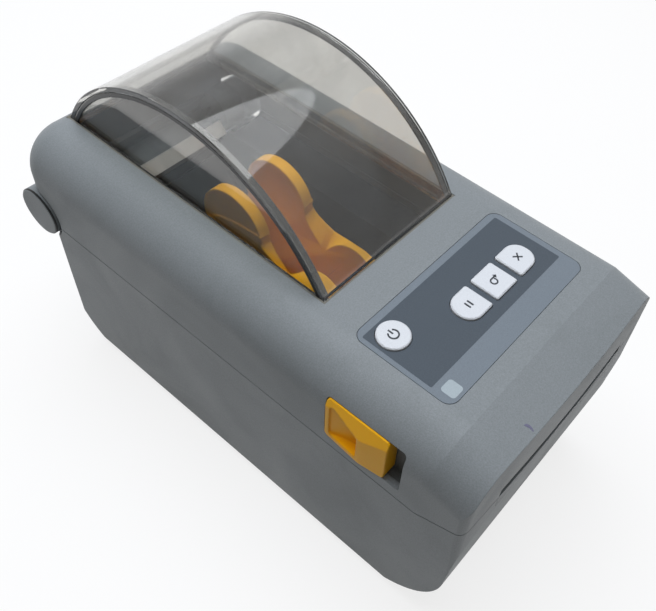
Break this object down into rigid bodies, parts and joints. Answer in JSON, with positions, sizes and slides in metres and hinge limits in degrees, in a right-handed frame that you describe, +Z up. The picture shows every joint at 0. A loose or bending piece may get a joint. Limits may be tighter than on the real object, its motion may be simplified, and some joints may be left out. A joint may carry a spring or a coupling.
{
  "type": "desktop label printer",
  "caption": "Desktop label printer with a hinged clamshell cover, arched smoked window, side latches, key panel and sliding roll holders.",
  "frame": {"origin": "centre of the outside box on the plane the feet stand on", "axes": "+X to the right when looking at the front, +Y to the rear, +Z up; the front faces -Y"},
  "size_m": [0.115, 0.221, 0.151],
  "materials": {
    "case_grey": "fine texture",
    "window_smoke": "smoked, polished",
    "seal_rubber": "matte",
    "panel_grey": "fine texture",
    "panel_slate": "satin",
    "panel_pale": "satin",
    "key_white": "satin",
    "amber_plastic": "satin",
    "dark_plastic": "matte",
    "trough_grey": "matte",
    "pale_plastic": "satin",
    "gear_nylon": "satin",
    "steel": "brushed",
    "zinc_steel": "zinc plated",
    "head_aluminium": "satin",
    "head_ceramic": "glazed",
    "roller_rubber": "ground",
    "foot_rubber": "matte",
    "board_green": "solder mask",
    "chip_black": "matte"
  },
  "bodies": {
    "base": {"base_shell": "case_grey", "front_bezel": "case_grey", "tear_bar": "steel", "hinge_pin_left": "steel", "hinge_pin_right": "steel", "hinge_cap_left": "case_grey", "hinge_cap_right": "case_grey", "media_well": "trough_grey", "guide_bar": "pale_plastic", "chassis": "zinc_steel", "platen_bush_left": "gear_nylon", "platen_bush_right": "gear_nylon", "idler_stud": "steel", "feed_motor": "zinc_steel", "sensor_rail": "steel", "main_board": "board_green", "board_parts": "chip_black", "power_socket": "dark_plastic", "usb_socket": "zinc_steel", "host_socket": "dark_plastic", "option_plate": "dark_plastic", "pinion_post": "steel", "case_screws": "zinc_steel", "foot_1": "foot_rubber", "foot_2": "foot_rubber", "foot_3": "foot_rubber", "foot_4": "foot_rubber"},
    "cover": {"cover_shell": "case_grey", "cover_window": "window_smoke", "window_seal": "seal_rubber", "panel_overlay": "panel_grey", "panel_field": "panel_slate", "panel_mark": "panel_pale", "keypad_board": "board_green", "latch_guide_left": "dark_plastic", "latch_guide_right": "dark_plastic", "head_cradle": "dark_plastic", "head_spring_left": "steel", "head_spring_right": "steel"},
    "latch_left": {"latch_left": "amber_plastic"},
    "latch_right": {"latch_right": "amber_plastic"},
    "power_key": {"power_key": "key_white"},
    "pause_key": {"pause_key": "key_white"},
    "feed_key": {"feed_key": "key_white"},
    "cancel_key": {"cancel_key": "key_white"},
    "platen": {"platen_roller": "roller_rubber", "platen_shaft": "steel", "platen_gear": "gear_nylon"},
    "idler": {"idler_gear": "gear_nylon"},
    "motor_pinion": {"motor_pinion": "steel"},
    "holder_left": {"roll_holder_left": "amber_plastic"},
    "holder_right": {"roll_holder_right": "amber_plastic"},
    "rack_pinion": {"rack_pinion": "gear_nylon"},
    "media_sensor": {"media_sensor": "chip_black"},
    "head": {"head_bracket": "zinc_steel", "print_head": "head_aluminium", "head_strip": "head_ceramic"}
  },
  "joints": [
    {"name": "cover_hinge", "type": "hinge", "parent": "base", "child": "cover", "pos_m": [0, 0.1002, 0.0776], "axis": [-1, 0, 0], "range_deg": [0, 85]},
    {"name": "latch_left_slide", "type": "slide", "parent": "cover", "child": "latch_left", "axis": [0, -1, 0], "range_m": [0, 0.006], "stiffness_N_per_m": 300, "springref_m": -0.004},
    {"name": "latch_right_slide", "type": "slide", "parent": "cover", "child": "latch_right", "axis": [0, -1, 0], "range_m": [0, 0.006], "stiffness_N_per_m": 300, "springref_m": -0.004},
    {"name": "power_key_press", "type": "slide", "parent": "cover", "child": "power_key", "axis": [0, 0.012, -0.9999], "range_m": [0, 0.0006], "stiffness_N_per_m": 1500, "springref_m": -0.0004},
    {"name": "pause_key_press", "type": "slide", "parent": "cover", "child": "pause_key", "axis": [0, 0.012, -0.9999], "range_m": [0, 0.0006], "stiffness_N_per_m": 1500, "springref_m": -0.0004},
    {"name": "feed_key_press", "type": "slide", "parent": "cover", "child": "feed_key", "axis": [0, 0.012, -0.9999], "range_m": [0, 0.0006], "stiffness_N_per_m": 1500, "springref_m": -0.0004},
    {"name": "cancel_key_press", "type": "slide", "parent": "cover", "child": "cancel_key", "axis": [0, 0.012, -0.9999], "range_m": [0, 0.0006], "stiffness_N_per_m": 1500, "springref_m": -0.0004},
    {"name": "platen_spin", "type": "hinge", "parent": "base", "child": "platen", "pos_m": [0, -0.092, 0.078], "axis": [1, 0, 0], "continuous": true},
    {"name": "idler_spin", "type": "hinge", "parent": "base", "child": "idler", "pos_m": [-0.042, -0.082, 0.05618], "axis": [1, 0, 0], "continuous": true},
    {"name": "motor_spin", "type": "hinge", "parent": "base", "child": "motor_pinion", "pos_m": [-0.042, -0.06796, 0.04309], "axis": [1, 0, 0], "continuous": true},
    {"name": "holder_left_slide", "type": "slide", "parent": "base", "child": "holder_left", "axis": [-1, 0, 0], "range_m": [0, 0.018], "stiffness_N_per_m": 50, "springref_m": -0.02},
    {"name": "holder_right_slide", "type": "slide", "parent": "base", "child": "holder_right", "axis": [1, 0, 0], "range_m": [0, 0.018]},
    {"name": "rack_pinion_turn", "type": "hinge", "parent": "base", "child": "rack_pinion", "pos_m": [0, 0.0335, 0.0109], "axis": [0, 0, 1], "range_deg": [-185, 0]},
    {"name": "media_sensor_slide", "type": "slide", "parent": "base", "child": "media_sensor", "axis": [1, 0, 0], "range_m": [-0.018, 0.018]},
    {"name": "head_tilt", "type": "hinge", "parent": "cover", "child": "head", "pos_m": [0, -0.07, 0.093], "axis": [-1, 0, 0], "range_deg": [0, 3], "stiffness_Nm_per_rad": 8, "springref_deg": -3.44, "deforming": ["head_spring_left", "head_spring_right"]}
  ],
  "couplings": [
    {"joint": "idler_spin", "follows": "platen_spin", "ratio": -0.66667},
    {"joint": "motor_spin", "follows": "platen_spin", "ratio": 2},
    {"joint": "holder_right_slide", "follows": "holder_left_slide", "ratio": 1},
    {"joint": "rack_pinion_turn", "follows": "holder_left_slide", "rad_per_m": -178.57}
  ]
}
